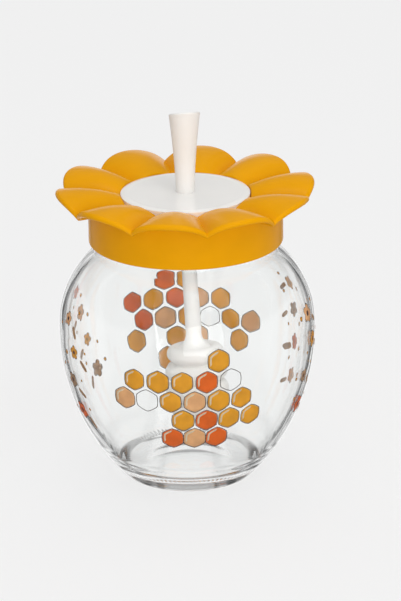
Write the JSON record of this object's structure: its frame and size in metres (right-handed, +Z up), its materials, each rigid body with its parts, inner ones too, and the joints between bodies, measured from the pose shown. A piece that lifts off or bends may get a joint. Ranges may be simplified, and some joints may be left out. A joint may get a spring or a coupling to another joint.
{
  "type": "honey jar",
  "caption": "Barrel-shaped clear glass honey jar with a flower-shaped screw lid and a lift-out honey dipper hung from a disc with a stem handle.",
  "frame": {"origin": "on the jar's axis, on the plane that its base ring stands on", "axes": "+Z up along the jar's axis, -Y towards the front, +X to the viewer's right"},
  "size_m": [0.1194, 0.1198, 0.1779],
  "materials": {
    "clear_glass": "clear, polished",
    "orange_plastic": "glossy moulded",
    "white_plastic": "glossy moulded",
    "ivory_plastic": "satin moulded",
    "seal": "matt, translucent white"
  },
  "bodies": {
    "jar": {"glass_jar": "clear_glass"},
    "gasket": {"jar_gasket": "seal"},
    "lid": {"inner_cap": "white_plastic", "flower_cover": "orange_plastic"},
    "plug_ring": {"plug_seal": "seal"},
    "dipper_set": {"centre_disc": "white_plastic", "handle": "ivory_plastic", "dipper": "ivory_plastic"}
  },
  "joints": [
    {"name": "lid_rise", "type": "slide", "parent": "jar", "child": "gasket", "axis": [0, 0, 1], "range_m": [0, 0.02]},
    {"name": "lid_turn", "type": "hinge", "parent": "gasket", "child": "lid", "pos_m": [0, 0, 0.118], "axis": [0, 0, 1], "range_deg": [0, 450]},
    {"name": "dipper_lift", "type": "slide", "parent": "lid", "child": "plug_ring", "axis": [0, 0, 1], "range_m": [0, 0.12]},
    {"name": "dipper_turn", "type": "hinge", "parent": "plug_ring", "child": "dipper_set", "pos_m": [0, 0, 0.134], "axis": [0, 0, 1], "continuous": true}
  ],
  "couplings": [
    {"joint": "lid_rise", "follows": "lid_turn", "m_per_rad": 0.0025465}
  ]
}
